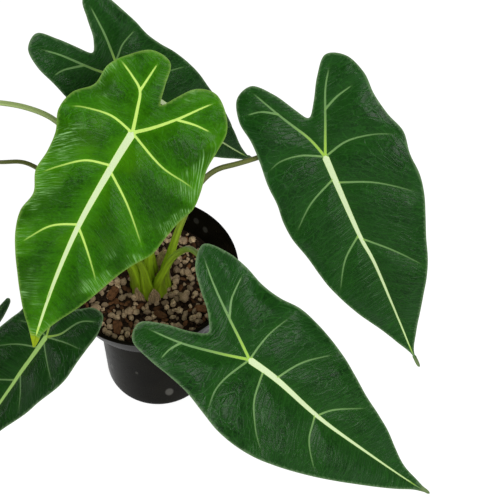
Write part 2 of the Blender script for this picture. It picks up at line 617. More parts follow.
# ---- geometry helpers ---------------------------------------------------------------------
def solid(node):
    """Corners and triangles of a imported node, with shared corners merged."""
    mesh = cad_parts[node].data
    corners = np.empty(len(mesh.vertices) * 3)
    mesh.vertices.foreach_get("co", corners)
    points, index = np.unique(corners.reshape(-1, 3).round(6), axis=0, return_inverse=True)
    loops = np.empty(len(mesh.loops), dtype=int)
    mesh.loops.foreach_get("vertex_index", loops)
    return points, index.ravel()[loops].reshape(-1, 3)


def make(name, points, faces, material, slot, *nodes, smooth=True, sharp=None, **attributes):
    """A finished piece from points and faces, which rides on the root and stands for nodes."""
    mesh = bpy.data.meshes.new(name)
    mesh.from_pydata([tuple(point) for point in points], [], [tuple(face) for face in faces])
    mesh.validate()
    mesh.materials.append(material)
    if smooth:
        mesh.shade_smooth()
    if sharp is not None:
        mesh.set_sharp_from_angle(angle=math.radians(sharp))
    for key, values in attributes.items():
        layer = mesh.attributes.new(key, "FLOAT", "POINT")
        layer.data.foreach_set("value", np.asarray(values, dtype=np.float32))
    piece = bpy.data.objects.new(name, mesh)
    bpy.context.scene.collection.objects.link(piece)
    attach(piece, "root")
    if nodes:
        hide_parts(*nodes)
    return piece


def smooth_path(points, spacing):
    """Points about spacing apart on the smooth curve through the given points."""
    points = [np.asarray(point, dtype=float) for point in points]
    ends = [2 * points[0] - points[1]] + points + [2 * points[-1] - points[-2]]
    path = []
    for before, start, end, after in zip(ends, ends[1:], ends[2:], ends[3:]):
        count = max(2, int(np.linalg.norm(end - start) / spacing))
        for t in np.arange(count) / count:
            path.append(0.5 * (2 * start + (end - before) * t
                               + (2 * before - 5 * start + 4 * end - after) * t * t
                               + (3 * start - before - 3 * end + after) * t * t * t))
    path.append(points[-1])
    return np.array(path)


def lathe(profile, steps):
    """Points and faces of a body turned about Z, from (radius, height) pairs between two poles."""
    points = []
    faces = []
    rings = []
    for radius, height in profile:
        if radius < 1e-6:
            rings.append([len(points)] * steps)
            points.append((0.0, 0.0, height))
            continue
        rings.append(range(len(points), len(points) + steps))
        for i in range(steps):
            angle = math.tau * i / steps
            points.append((radius * math.cos(angle), radius * math.sin(angle), height))
    for upper, lower in zip(rings, rings[1:]):
        for i in range(steps):
            j = (i + 1) % steps
            corners = (upper[i], lower[i], lower[j], upper[j])
            faces.append(tuple(dict.fromkeys(corners)))
    return points, faces


def arc(centre, radius, start, end, count):
    """Profile points on an arc, between two angles in degrees."""
    points = []
    for angle in np.radians(np.linspace(start, end, count + 1)):
        points.append((centre[0] + radius * math.cos(angle), centre[1] + radius * math.sin(angle)))
    return points


def tree_of(points):
    """A tree that finds the nearest of some flat points."""
    tree = KDTree(len(points))
    for i, point in enumerate(points):
        tree.insert((point[0], point[1], 0.0), i)
    tree.balance()
    return tree


def unit(vectors):
    """The same directions, at length 1."""
    return vectors / np.linalg.norm(vectors, axis=-1, keepdims=True)


def open_edges(faces):
    """Edges that only one of the faces has, as corners in that face's order."""
    edges = {(a, b) for face in faces for a, b in zip(face, np.roll(face, -1))}
    return [(a, b) for a, b in edges if (b, a) not in edges]


def unpack(shape):
    """Points and faces of a bmesh, which is freed."""
    points = np.array([vert.co[:] for vert in shape.verts])
    faces = np.array([[vert.index for vert in face.verts] for face in shape.faces])
    shape.free()
    return points, faces


def smoothstep(value):
    """From 0 to 1 with a soft start and end."""
    value = np.clip(value, 0.0, 1.0)
    return value * value * (3 - 2 * value)


# ---- blades -------------------------------------------------------------------------------
class Blade:
    """Place and outline of a packed blade: its joint, length, axes and flat outline."""

    def __init__(self, name):
        points, triangles = solid("blade_" + name)
        # Most triangles meet at the joint, on the top and on the underside.
        shared = np.bincount(triangles.ravel())
        pair = sorted(np.argsort(shared)[-2:], key=lambda i: points[i][2])
        self.joint = points[pair[1]]
        up = unit(self.joint - points[pair[0]])
        corners = points[triangles]
        normals = unit(np.cross(corners[:, 1] - corners[:, 0], corners[:, 2] - corners[:, 0]))
        top = triangles[normals @ up > 0.6]
        follower = dict(open_edges(top))
        tip = max(follower, key=lambda i: np.linalg.norm(points[i] - self.joint))
        reach = points[tip] - self.joint
        # A quarter of the way along the midrib, the dish is a sixteenth as deep as at the tip.
        surface = points[np.unique(top)] - self.joint
        guess = reach / 4 + up * 0.015 * np.linalg.norm(reach)
        quarter = surface[np.argmin(np.linalg.norm(surface - guess, axis=1))]
        straight = (16 * quarter - reach) / 3
        self.length = np.linalg.norm(straight)
        self.tip_way = straight / self.length
        up = straight - reach
        self.top_way = unit(up - (up @ self.tip_way) * self.tip_way)
        self.right_way = np.cross(self.tip_way, self.top_way)
        order = [tip]
        while follower[order[-1]] != tip:
            order.append(follower[order[-1]])
        self.outline = [self.flat(points[i]) for i in order]

    def flat(self, point):
        """(along, out) of a point, as shares of the length."""
        offset = (point - self.joint) / self.length
        return np.array((offset @ self.tip_way, offset @ self.right_way))

    def dish(self, along, out):
        """Height of the dished surface over the blade's plane, in metres."""
        bend = np.where(along > 0, DROOP, BACK_DROOP)
        ridge = np.hypot(out, FOLD_SOFTNESS) - FOLD_SOFTNESS
        return (FOLD * ridge - bend * along ** 2 - ARCH * out ** 2) * self.length

    def lift(self, flat, height):
        """Points in space from flat (along, out) metres and heights over the dish."""
        rise = self.dish(flat[:, 0] / self.length, flat[:, 1] / self.length) + height
        return (self.joint + flat[:, :1] * self.tip_way + flat[:, 1:2] * self.right_way
                + rise[:, None] * self.top_way)


def fine_outline(blade, spacing, tail):
    """The outline in metres, smooth but for its tip, with a drawn-out tail."""
    corners = [corner * blade.length for corner in blade.outline]
    notch = min(range(1, len(corners)), key=lambda i: np.linalg.norm(corners[i]))
    sides = []
    for half in (smooth_path(corners[:notch + 1], spacing),
                 smooth_path(corners[notch:] + corners[:1], spacing)):
        share = (half[:, 0] / blade.length - TAIL_START) / (1 - TAIL_START)
        width = tail * np.sqrt(np.clip(1 - np.clip(share, 0, 1) ** 5, 0, 1)) * (share > 0)
        side = 1 if half[:, 1].mean() > 0 else -1
        drawn = side * np.maximum(side * half[:, 1], width)
        half[:, 1] = np.where(share > 0, drawn, half[:, 1])
        sides.append(half[:-1])
    outline = np.concatenate(sides)
    near = len(sides[0]) + np.arange(-NOTCH_POINTS, NOTCH_POINTS + 1)
    for _ in range(NOTCH_PASSES):
        outline[near] = (outline[near - 1] + 2 * outline[near] + outline[near + 1]) / 4
    return outline


def vein_samples(blade, veins, settings, young, fullness):
    """Samples on every vein as rows of (along, out, half width, strength) in metres."""
    rows = []
    # Kind, points, width at the root, and strength at the root and at the end.
    plan = [("midrib", veins["midrib"], settings.midrib, 1.0, 0.90)]
    plan += [("rib", vein, settings.rib, 0.80, 0.30) for vein in veins["ribs"]]
    plan += [("side", vein, settings.side, 0.62, 0.16) for vein in veins["sides"]]
    for kind, vein, width, strong, weak in plan:
        width *= fullness
        path = smooth_path(np.array(vein) * blade.length, 0.0005)
        if kind == "rib" and np.hypot(*vein[0]) > 0.01:
            width *= FORK_SHARE
            strong *= FORK_SHARE
        if young:
            width *= 1.08 if kind == "midrib" else settings.young_share
        share = np.linspace(0, 1, len(path))
        if kind == "midrib":
            taper = 0.95 if young else 1.5
            level = np.interp(share, (0.0, 0.88, 0.96), (1.0, weak, 0.0))
        else:
            taper = 0.8
            level = strong + (weak - strong) * share ** 0.8
            level *= 1 - smoothstep((share - 0.86) / 0.14)
        half = (VEIN_END + (width - VEIN_END) * (1 - share) ** taper) / 2
        rows.append(np.column_stack((path, half, level)))
    return rows


class Spread:
    """Flat points that keep their distance, found by the square cell in which they lie."""
    CELL = 0.001

    def __init__(self, points):
        self.points = []
        self.cells = {}
        for x, y in points:
            self.add(x, y)

    def add(self, x, y):
        self.points.append((x, y))
        self.cells.setdefault((int(x // self.CELL), int(y // self.CELL)), []).append((x, y))

    def add_apart(self, x, y, gap):
        """Adds a point, unless another lies closer than gap."""
        column, row = int(x // self.CELL), int(y // self.CELL)
        for i in range(column - 2, column + 3):
            for j in range(row - 2, row + 3):
                for near_x, near_y in self.cells.get((i, j), ()):
                    if (near_x - x) ** 2 + (near_y - y) ** 2 < gap * gap:
                        return
        self.add(x, y)


def blade_mesh(blade, veins, settings, young, fullness):
    """Flat points with triangles: outline, rows along each vein, and a grid between them."""
    spacing = settings.spacing
    edge = fine_outline(blade, spacing * 0.8, settings.tail)
    rows = vein_samples(blade, veins, settings, young, fullness)
    spread = Spread(edge)
    for row in rows:
        step = unit(np.gradient(row[:, :2], axis=0))
        across = np.column_stack((-step[:, 1], step[:, 0]))
        for i in range(0, len(row), 2):
            half = row[i, 2]
            for offset in (0.0, half, -half, half + VEIN_FADE, -half - VEIN_FADE):
                spread.add_apart(*(row[i, :2] + across[i] * offset), POINT_GAP)
    low, high = edge.min(0), edge.max(0)
    pitch = spacing * math.sqrt(3) / 2
    for j in range(int((high[1] - low[1]) / pitch) + 1):
        for i in range(int((high[0] - low[0]) / spacing) + 1):
            spread.add_apart(low[0] + (i + 0.5 * (j % 2)) * spacing, low[1] + j * pitch,
                             spacing * 0.62)
    result = delaunay_2d_cdt([Vector(point) for point in spread.points], [],
                             [list(range(len(edge)))], 1, 1e-7)
    flat = np.array([tuple(point) for point in result[0]])
    used, triangles = np.unique(np.array(result[2]), return_inverse=True)
    return flat[used], triangles.reshape(-1, 3), edge, rows


def vein_fields(flat, rows, edge):
    """For each point: distance from the nearest vein, the vein's half width and strength,
    distance from the margin, and place along it as a share."""
    samples = np.concatenate(rows)
    tree = tree_of(samples)
    edge_tree = tree_of(edge)
    distance, half, level, margin, where = np.empty((5, len(flat)))
    for i, (x, y) in enumerate(flat):
        near = tree.find_n((x, y, 0.0), 8)
        best = min((d - samples[k, 2], d, samples[k, 2]) for _, k, d in near)
        distance[i], half[i] = best[1:]
        level[i] = max(samples[k, 3] * min(1.0, max(0.0, 1 - (d - samples[k, 2]) / VEIN_FADE))
                       for _, k, d in near)
        _, k, margin[i] = edge_tree.find((x, y, 0.0))
        where[i] = k
    return distance, half, level, margin, where / len(edge)


def flow_field(along, out):
    """Coordinate that stays the same along the fine veins, in shares of the length."""
    turn = smoothstep((along + 0.28) / 0.5)
    lean = -0.35 + 0.65 * turn
    return along - lean * np.abs(out) - 1.1 * turn * out ** 2 + 0.15 * out


def fall(distance, reach):
    """From 1 at no distance down to 0, mostly within reach."""
    return np.exp(-(distance / reach) ** 2)


def dome(distance, half):
    """Height of a half circle, as a share of its radius."""
    return np.sqrt(np.clip(1 - (distance / half) ** 2, 0, 1))


def blade_relief(flat, beside, distance, half, margin, where, number, settings):
    """Height of a blade's top over its dish: puffed panels, furrows, veins and waves."""
    puff = settings.puff * (1 - fall(beside, PUFF_REACH)) * smoothstep(margin / PUFF_END)
    furrow = -FURROW_DEPTH * fall(beside, FURROW_REACH)
    crown = VEIN_CROWN * half * dome(distance, half) * (half > VEIN_END)
    waves = 5 + number % 3
    ripple = (np.sin(math.tau * (where * waves + 0.13 * number))
              + 0.45 * np.sin(math.tau * (where * (2.3 * waves) + 0.37 * number)))
    ripple = settings.ripple * ripple * np.exp(-margin / RIPPLE_REACH)
    rough = np.array([noise.noise(Vector((x * 110, y * 110, number * 7.1))) for x, y in flat])
    return puff + furrow + crown + ripple + rough * UNEVENNESS


def blade_finish(name, young, vigour, settings):
    """The finish of a blade: the newest is bright, and the oldest are dull."""
    ribs = settings.young_vein if young else settings.rib_vein
    sides = settings.young_vein if young else settings.side_vein
    return leaf_finish("blade_" + name, YOUNG if young else GROWN, vigour,
                       tint(settings.bright if young else settings.dark, vigour),
                       settings.vein if vigour == 1.0 else settings.old_vein,
                       tint(ribs, vigour), tint(sides, vigour), settings.underside)


def build_blade(name, settings):
    """A thin blade with a top, an underside with keeled veins, and a rim between them."""
    blade = Blade(name)
    young = name == "front"
    vigour = OLD_LEAVES.get(name, 1.0)
    veins = VEINS.get(name, EVEN_VEINS)
    flat, triangles, edge, rows = blade_mesh(blade, veins, settings, young, (1 + vigour) / 2)
    distance, half, level, margin, where = vein_fields(flat, rows, edge)
    beside = (distance - half).clip(0)
    height = blade_relief(flat, beside, distance, half, margin, where, LEAVES.index(name), settings)
    inside = smoothstep(margin / THIN_REACH)
    keel = KEEL_DEPTH * half * dome(distance, KEEL_WIDTH * half) * inside
    thickness = settings.thickness * (EDGE_THICKNESS + (1 - EDGE_THICKNESS) * inside)
    over = blade.lift(flat, height)
    under = blade.lift(flat, height - thickness - keel)
    facing = np.cross(over[triangles[0, 1]] - over[triangles[0, 0]],
                      over[triangles[0, 2]] - over[triangles[0, 0]]) @ blade.top_way
    if facing < 0:
        triangles = triangles[:, ::-1]
    count = len(flat)
    faces = [tuple(face) for face in triangles]
    faces += [tuple(face[::-1] + count) for face in triangles]
    faces += [(a, a + count, b + count, b) for a, b in open_edges(triangles)]
    along, out = flat.T / blade.length
    marks = dict(vein=level, border=np.exp(-(beside / (0.0007 + 1.1 * half))),
                 panel=1 - fall(beside, PANEL_REACH), margin=fall(margin, RIM_WIDTH),
                 outer=np.exp(-margin / EDGE_REACH),
                 tail=smoothstep((along - TAIL_START + 0.005) / 0.03),
                 flow=flow_field(along, out), reach=np.hypot(along, out))
    marks = {key: np.tile(values, 2) for key, values in marks.items()}
    make("leaf_" + name, np.concatenate((over, under)), faces,
         blade_finish(name, young, vigour, settings),
         "blade_bright" if young else "blade_dark", "blade_" + name, sharp=50,
         top=np.repeat((1.0, 0.0), count), **marks)


# ---- stalks -------------------------------------------------------------------------------
def stalk_line(node):
    """Centres and radii of the rings of a packed stalk, from its foot to its blade."""
    points, triangles = solid(node)
    beside = {}
    for a, b, c in triangles:
        for i, j in ((a, b), (b, c), (c, a)):
            beside.setdefault(i, set()).add(j)
            beside.setdefault(j, set()).add(i)
    central = np.hypot(points[:, 0], points[:, 1]) < STALK_REACH
    ring = set(np.flatnonzero(central & (points[:, 2] < points[central, 2].min() + 1e-5)))
    seen = set(ring)
    centres = []
    radii = []
    while ring:
        corners = points[list(ring)]
        centres.append(corners.mean(0))
        radii.append(np.linalg.norm(corners - corners.mean(0), axis=1).mean())
        ring = {j for i in ring for j in beside[i]} - seen
        seen |= ring
    return centres, radii


def build_stalk(name, settings):
    """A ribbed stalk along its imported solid, widest across at its foot."""
    centres, radii = stalk_line("petiole_" + name)
    centres[-1] = centres[-1] + unit(centres[-1] - centres[-2]) * STALK_DRAW
    path = smooth_path([(*centre, radius) for centre, radius in zip(centres, radii)],
                       settings.step)
    for _ in range(STALK_PASSES):
        path[3:-5, :3] = (path[2:-6, :3] + 2 * path[3:-5, :3] + path[4:-4, :3]) / 4
    line, radius = path[:, :3], path[:, 3]
    step = unit(np.gradient(line, axis=0))
    walked = np.concatenate(([0.0], np.cumsum(np.linalg.norm(np.diff(line, axis=0), axis=1))))
    foot = np.array((line[0, 0], line[0, 1], 0.0))
    central = np.linalg.norm(foot) < 0.002
    outward = np.array((1.0, 0.0, 0.0)) if central else unit(foot)
    across = outward - (outward @ step[0]) * step[0]
    points = []
    turn = []
    number = LEAVES.index(name)
    for i, centre in enumerate(line):
        across = unit(across - (across @ step[i]) * step[i])
        beside = np.cross(step[i], across)
        low = smoothstep(1 - walked[i] / settings.foot)
        knee = math.exp(-((walked[-1] - walked[i]) / KNEE_REACH) ** 2) * KNEE
        for k in range(settings.sides):
            angle = math.tau * k / settings.sides
            wobble = noise.noise(Vector((math.cos(angle), math.sin(angle), walked[i] * 60))
                                 + Vector((number * 5.0, 0, 0)))
            size = radius[i] * (1 + 0.025 * math.cos(STALK_GROOVES * angle) + 0.05 * wobble + knee)
            wide = size * (1 + settings.swell * low)
            deep = size * (1 + 0.10 * low)
            points.append(centre + across * deep * math.cos(angle)
                          + beside * wide * math.sin(angle))
            turn.append(angle / math.tau)
    count = settings.sides
    faces = []
    for i in range(len(line) - 1):
        for k in range(count):
            j = (k + 1) % count
            faces.append((i * count + k, i * count + j, (i + 1) * count + j,
                          (i + 1) * count + k))
    faces.append(tuple(range(count))[::-1])
    last = (len(line) - 1) * count
    faces.append(tuple(range(last, last + count)))
    kind = {"front": "bright", "low_right": "bright", "high_left": "pale", "low_left": "deep",
            "side_left": "deep"}.get(name, "olive")
    finish = stalk_finish("petiole_" + name, getattr(settings, kind), settings.foot_colour)
    slot = "olive" if kind == "deep" else kind
    share = np.repeat(walked / walked[-1], count)
    make("stalk_" + name, points, faces, finish, "petiole_" + slot, "petiole_" + name, sharp=50,
         rise=share, length=np.repeat(walked, count), turn=turn)


# ---- pot and mix --------------------------------------------------------------------------
def pot_profile(settings):
    """(radius, height) points: inside from the floor's middle up, over the lip and down."""
    rim, height, lip = POT_HIGH.x, POT_HIGH.z, settings.lip
    wall, edge, base = settings.wall, settings.base_edge, settings.base_radius
    band_foot = height - settings.band
    band_radius = rim - settings.band_taper
    body = band_radius - settings.shoulder
    body_top = band_foot - settings.shoulder_drop
    slope = settings.shoulder_drop / settings.shoulder
    lift = wall * (math.hypot(1.0, slope) - slope)
    corner = (base - edge, edge)
    inside = [(0.0, wall)] + arc(corner, edge - wall, -90, 0, 8)
    inside += bend((base - wall, edge), (body - wall, body_top + lift),
                   (band_radius - wall, band_foot + lift), INNER_BEND)
    inside += bend((body - wall, body_top + lift), (band_radius - wall, band_foot + lift),
                   (rim - wall, height - wall), INNER_BEND)
    over = arc((rim - lip, height - lip), lip, 180, -50, 14)
    neck = (rim - 1.25 * wall / 2 - 0.0012, height - 2.6 * lip)
    outside = [(neck[0] + 0.0004, neck[1] + 0.0004), neck]
    outside += bend(neck, (band_radius, band_foot), (body, body_top), COLLAR_BEND)
    outside += bend((band_radius, band_foot), (body, body_top), (base, edge), BODY_BEND)
    outside += arc(corner, edge, 0, -90, 14)
    return inside + over + outside + [(0.0, 0.0)]


def bend(before, corner, after, radius):
    """Points that round a corner of a profile, starting and ending radius away from it."""
    corner = np.array(corner)
    start = corner + unit(before - corner) * radius
    end = corner + unit(after - corner) * radius
    steps = np.linspace(0, 1, 7)[:, None]
    path = (1 - steps) ** 2 * start + 2 * steps * (1 - steps) * corner + steps ** 2 * end
    return [tuple(point) for point in path]


def build_pot(settings):
    """The turned pot, with its drain holes cut through the base."""
    profile = pot_profile(settings)
    fine = [profile[0]]
    for (r0, h0), (r1, h1) in zip(profile, profile[1:]):
        count = max(1, int(math.hypot(r1 - r0, h1 - h0) / 0.006))
        for i in range(1, count + 1):
            fine.append((r0 + (r1 - r0) * i / count, h0 + (h1 - h0) * i / count))
    points, faces = lathe(fine, 128)
    piece = make("pot", points, faces, pot_finish(settings), "pot_plastic", "nursery_pot",
                 sharp=38)
    shape = bmesh.new()
    for i in range(settings.drain_count):
        angle = math.tau * i / settings.drain_count
        place = Matrix.Translation((settings.drain_ring * math.cos(angle),
                                    settings.drain_ring * math.sin(angle), settings.wall / 2))
        bmesh.ops.create_cone(shape, cap_ends=True, segments=40, radius1=settings.drain_radius,
                              radius2=settings.drain_radius, depth=4 * settings.wall,
                              matrix=place)
    mesh = bpy.data.meshes.new("drain")
    shape.to_mesh(mesh)
    shape.free()
    cutter = bpy.data.objects.new("drain", mesh)
    bpy.context.scene.collection.objects.link(cutter)
    cut = piece.modifiers.new("drain", "BOOLEAN")
    cut.operation = "DIFFERENCE"
    cut.solver = "EXACT"
    cut.object = cutter
    apply_modifiers(piece)
    bpy.data.objects.remove(cutter, do_unlink=True)


def apply_modifiers(piece):
    """Replaces a piece's mesh by what its modifiers make of it."""
    graph = bpy.context.evaluated_depsgraph_get()
    mesh = bpy.data.meshes.new_from_object(piece.evaluated_get(graph))
    piece.modifiers.clear()
    piece.data = mesh


def soil_height(x, y, relief):
    """Height of the uneven surface of the mix, which is heaped a little round the stalks."""
    place = Vector((x, y, 0.0))
    bumps = (noise.noise(place * 110) + 0.6 * noise.noise(place * 300)
             + 0.35 * noise.noise(place * 800))
    heap = math.exp(-(x * x + y * y) / 0.0003)
    return MIX_HIGH.z + relief * (bumps * 0.6 - 0.1) + HEAP * heap


def mix_radius(points):
    """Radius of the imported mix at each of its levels, from the bottom up."""
    levels = {}
    for x, y, z in points:
        levels[round(z, 5)] = max(levels.get(round(z, 5), 0.0), math.hypot(x, y))
    return sorted((z, r) for z, r in levels.items() if r > 0.02)


def build_mix(settings):
    """The body of mix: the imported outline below, and an uneven surface on top."""
    levels = mix_radius(solid("potting_mix")[0])
    top = MIX_HIGH.x
    profile = [(top * i / 70, MIX_HIGH.z) for i in range(71)]
    profile += [(radius, height) for height, radius in reversed(levels[:-1])]
    profile.append((0.0, MIX_LOW.z))
    points, faces = lathe(profile, 220)
    shaped = []
    for x, y, z in points:
        radius = math.hypot(x, y)
        if z > MIX_HIGH.z - 1e-6:
            share = min(1.0, (top - radius) / SURFACE_EDGE)
            z = MIX_HIGH.z + (soil_height(x, y, settings.relief) - MIX_HIGH.z) * share
        shaped.append((x, y, z))
    make("mix_body", shaped, faces, soil_finish(settings.soil), "potting_mix",
         "potting_mix")


def build_rootstock():
    """The upright stock, ringed by the scars of old leaves."""
    low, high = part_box("rootstock")
    radius = high.x
    profile = [(0.0, high.z)]
    for i in range(1, 12):
        profile.append((radius * 0.92 * i / 12, high.z - 0.0006 * (i / 12) ** 3))
    rows = 40
    for i in range(rows + 1):
        share = i / rows
        ring = 1 + 0.05 * math.sin(share * 40)
        profile.append((radius * 0.94 * ring, high.z - 0.001 - (high.z - low.z - 0.002) * share))
    profile.append((0.0, low.z))
    points, faces = lathe(profile, 64)
    shaped = []
    for point in points:
        push = 1 + 0.07 * noise.noise(Vector(point) * 400)
        shaped.append((point[0] * push, point[1] * push, point[2]))
    make("rootstock_core", shaped, faces,
         crumb_finish("rootstock", ROOT_SKIN, 500.0, rough=0.8), "rootstock",
         "rootstock", shade=np.full(len(points), 0.5))


# ---- loose pieces -------------------------------------------------------------------------
def ball(level):
    """Points and faces of a ball of radius 1."""
    shape = bmesh.new()
    bmesh.ops.create_icosphere(shape, subdivisions=level, radius=1.0)
    return unpack(shape)


def rough_ball(level, depth, scale, offset, sharpness=0.0):
    """A ball pushed in and out by noise; sharpness flattens it into facets."""
    points, faces = ball(level)
    for i, point in enumerate(points):
        place = Vector(point) * scale + Vector((offset, offset * 0.7, 0))
        push = noise.fractal(place, 0.9, 2.1, 4)
        ridge = abs(noise.noise(place * 0.8))
        points[i] = point * (1 + depth * push - sharpness * ridge)
    return points, faces


def main_axes(node):
    """Middle, half sizes and axes of a packed loose piece, longest first."""
    points, _ = solid(node)
    middle = (points.max(0) + points.min(0)) / 2
    _, vectors = np.linalg.eigh(np.cov((points - points.mean(0)).T))
    axes = vectors[:, ::-1].T
    if np.linalg.det(axes) < 0:
        axes[2] *= -1
    halves = np.abs((points - middle) @ axes.T).max(0)
    return middle, halves, axes


def build_stones(settings):
    """Pitted pumice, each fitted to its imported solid."""
    finish = crumb_finish("pumice_stone", settings.pumice, 900.0, 0.25)
    for number, node in enumerate(STONES):
        middle, halves, axes = main_axes(node)
        points, faces = rough_ball(4, 0.30, 1.1, number * 3.3, 0.16)
        for i, point in enumerate(points):
            pit = noise.noise(Vector(point) * 7 + Vector((number, 0, 0)))
            points[i] = point * (1 - 0.07 * max(0.0, pit))
        points /= np.abs(points).max(0)
        shade = (number * 0.37) % 1.0
        make("stone_" + node[-2:], middle + (points * halves * 1.03) @ axes, faces, finish,
             "pumice", node, shade=np.full(len(points), shade))


def chip_mesh(number):
    """A flake of bark: a slab with split, layered edges, from -1 to 1 on each axis."""
    shape = bmesh.new()
    bmesh.ops.create_cube(shape, size=2.0)
    bmesh.ops.subdivide_edges(shape, edges=shape.edges, cuts=11, use_grid_fill=True)
    points, faces = unpack(shape)
    for i, (x, y, z) in enumerate(points):
        long_edge = 0.16 * noise.noise(Vector((y * 3, z * 4, number * 2.1)))
        side_edge = 0.20 * noise.noise(Vector((x * 2.4, z * 5, number * 3.7)))
        flat = 0.22 * noise.noise(Vector((x * 1.6, y * 2.2, number * 5.3)))
        corner = 1 - 0.22 * (abs(x) * abs(y)) ** 3
        points[i] = (x * corner * (1 + long_edge), y * corner * (1 + side_edge), z + flat)
    return points / np.abs(points).max(0), faces


def build_chips(settings):
    """Flakes of bark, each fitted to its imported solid."""
    finish = bark_finish("bark_chip", settings.bark)
    for number, node in enumerate(CHIPS):
        middle, halves, axes = main_axes(node)
        points, faces = chip_mesh(number)
        shade = (number * 0.43 + 0.2) % 1.0
        make("chip_" + node[-2:], middle + (points * halves) @ axes, faces, finish, "bark",
             node, smooth=False, shade=np.full(len(points), shade))


def grain_mould(kind, number):
    """One shape of grain, with a half length of about 1."""
    if kind == "bark":
        points, faces = rough_ball(2, 0.28, 1.0, number * 2.9 + 40, 0.2)
        return points * (1.0, 0.62, 0.34), faces
    points, faces = rough_ball(3 if kind == "pumice" else 2, 0.34, 1.15,
                               number * 4.1 + len(kind), 0.22)
    return points * (1.0, 0.84, 0.72), faces


def build_grains(settings):
    """Fine loose grains of pumice, bark and peat that cover the mix between the stones."""
    dice = random.Random(settings.seed)
    taken = []
    for node in STONES + CHIPS:
        low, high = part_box(node)
        middle = (low + high) / 2
        taken.append((middle.x, middle.y, (high - low).xy.length / 2 * STONE_CLEAR))
    for name in LEAVES:
        low = solid("petiole_" + name)[0]
        foot = low[low[:, 2] < low[:, 2].min() + 1e-5].mean(0)
        taken.append((foot[0], foot[1], FOOT_CLEAR))
    edge = MIX_HIGH.x - GRAIN_EDGE
    kinds = {kind: [] for kind in GRAINS}
    weights = [grain[0] for grain in GRAINS.values()]
    for attempt in range(settings.grains):
        share = attempt / settings.grains
        kind = dice.choices(list(GRAINS), weights)[0]
        _, small, large, _ = GRAINS[kind]
        size = large - (large - small) * share ** 0.6 * dice.uniform(0.6, 1.0)
        radius = math.sqrt(dice.random()) * (edge - size)
        angle = dice.uniform(0, math.tau)
        x, y = radius * math.cos(angle), radius * math.sin(angle)
        if any((x - a) ** 2 + (y - b) ** 2 < (GRAIN_CLOSENESS * (size + c)) ** 2
               for a, b, c in taken):
            continue
        taken.append((x, y, size))
        kinds[kind].append((x, y, size))
    finishes = {"pumice": crumb_finish("pumice_grain", settings.pumice, 1100.0, 0.70),
                "bark": bark_finish("bark_grain", settings.bark),
                "peat": crumb_finish("peat_crumb", tint(settings.soil, 1.8), 1500.0, 0.5)}
    for kind, grains in kinds.items():
        moulds = [grain_mould(kind, i) for i in range(GRAIN_MOULDS)]
        all_points = []
        all_faces = []
        shades = []
        total = 0
        for x, y, size in grains:
            points, faces = dice.choice(moulds)
            turn = Matrix.Rotation(dice.uniform(0, math.tau), 3, "Z")
            turn = turn @ Matrix.Rotation(dice.uniform(-0.5, 0.5), 3, "X")
            uneven = (1.0, dice.uniform(0.65, 1.15), dice.uniform(0.7, 1.2))
            placed = points * uneven * size @ np.array(turn.transposed())
            ground = soil_height(x, y, settings.relief)
            sink = placed[:, 2].min() + GRAIN_SINK * size
            placed = placed + (x, y, ground - sink)
            all_points.append(placed)
            all_faces.append(faces + total)
            shades.append(np.full(len(points), dice.random()))
            total += len(points)
        make(kind + "_grains", np.concatenate(all_points), np.concatenate(all_faces),
             finishes[kind], GRAINS[kind][-1], shade=np.concatenate(shades))


def build_sheaths(settings):
    """Curved papery scales that narrow to a torn point, flaring out from the stalks."""
    finish = sheath_finish(settings.sheath)
    for number, node in enumerate(SHEATHS):
        points, _ = solid(node)
        low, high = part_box(node)
        foot = points[points[:, 2] < low.z + 1e-5]
        inner = np.hypot(foot[:, 0], foot[:, 1]).min()
        angles = np.arctan2(foot[:, 1], foot[:, 0])
        middle = math.atan2(np.sin(angles).mean(), np.cos(angles).mean())
        spread = np.abs((angles - middle + math.pi) % math.tau - math.pi).max()
        height = high.z - low.z
        top = points[points[:, 2] > high.z - 1e-3]
        flare = np.hypot(top[:, 0], top[:, 1]).min() - inner
        rows, columns = 44, 30
        grid = []
        for layer in (0.0, SCALE_THICKNESS):
            for row in range(rows + 1):
                share = row / rows
                half = spread * (1 - share ** 2 * 0.92)
                for column in range(columns + 1):
                    side = 2 * column / columns - 1
                    place = Vector((side * 2.2, share * 2.0, number * 9.0))
                    torn = 1 - 0.05 * share * abs(noise.noise(place * 6))
                    radius = inner + flare * share ** 2 + 0.0007 * noise.noise(place * 1.6)
                    radius += 0.0009 * share * side * side + layer
                    angle = middle + half * side * (1 + 0.05 * noise.noise(place * 3))
                    grid.append((radius * math.cos(angle), radius * math.sin(angle),
                                 low.z + height * share * torn))
        size = (rows + 1) * (columns + 1)
        faces = []
        for row in range(rows):
            for column in range(columns):
                a = row * (columns + 1) + column
                b, c, d = a + 1, a + columns + 2, a + columns + 1
                faces.append((a, d, c, b))
                faces.append((a + size, b + size, c + size, d + size))
        faces += [(b, a, a + size, b + size) for a, b in open_edges(faces) if a < size]
        make("scale_%d" % (number + 1), grid, faces, finish, "papery_sheath", node, sharp=60)


# ---- stage --------------------------------------------------------------------------------
def area_light(name, place, size, power):
    """A white light panel that faces the middle of the plant."""
    lamp = bpy.data.lights.new(name, "AREA")
    lamp.shape = "RECTANGLE"
    lamp.size, lamp.size_y = size
    lamp.energy = power
    made = bpy.data.objects.new(name, lamp)
    made.location = place
    way = Vector((0.0, 0.0, 0.2)) - Vector(place)
    made.rotation_euler = way.to_track_quat("-Z", "Y").to_euler()
    bpy.context.scene.collection.objects.link(made)


